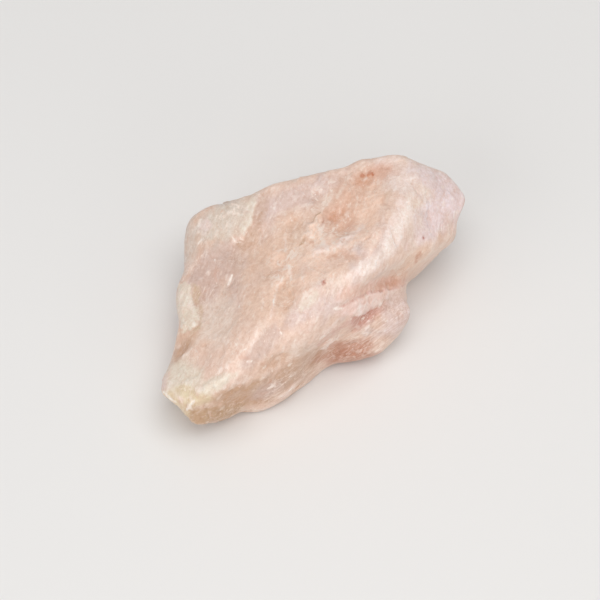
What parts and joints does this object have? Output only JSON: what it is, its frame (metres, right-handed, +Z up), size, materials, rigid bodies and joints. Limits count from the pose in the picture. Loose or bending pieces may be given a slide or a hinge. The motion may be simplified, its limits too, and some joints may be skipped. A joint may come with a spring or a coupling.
{
  "type": "rose quartz chunk",
  "caption": "Rough natural chunk of pale pink quartz, broken on all sides, with a broad slanting top, a blunt crest, a lobe under a crease in front, and a flat underside that it lies on.",
  "frame": {"origin": "middle of the stone's bounding box, on the face that it rests on", "axes": "+X along the stone's length, towards its blunt, high end; +Z up from the face that it rests on"},
  "size_m": [0.0702, 0.0416, 0.0259],
  "materials": {
    "rose_quartz": "satin"
  },
  "bodies": {
    "root": {"rose_quartz_chunk": "rose_quartz"}
  },
  "joints": []
}
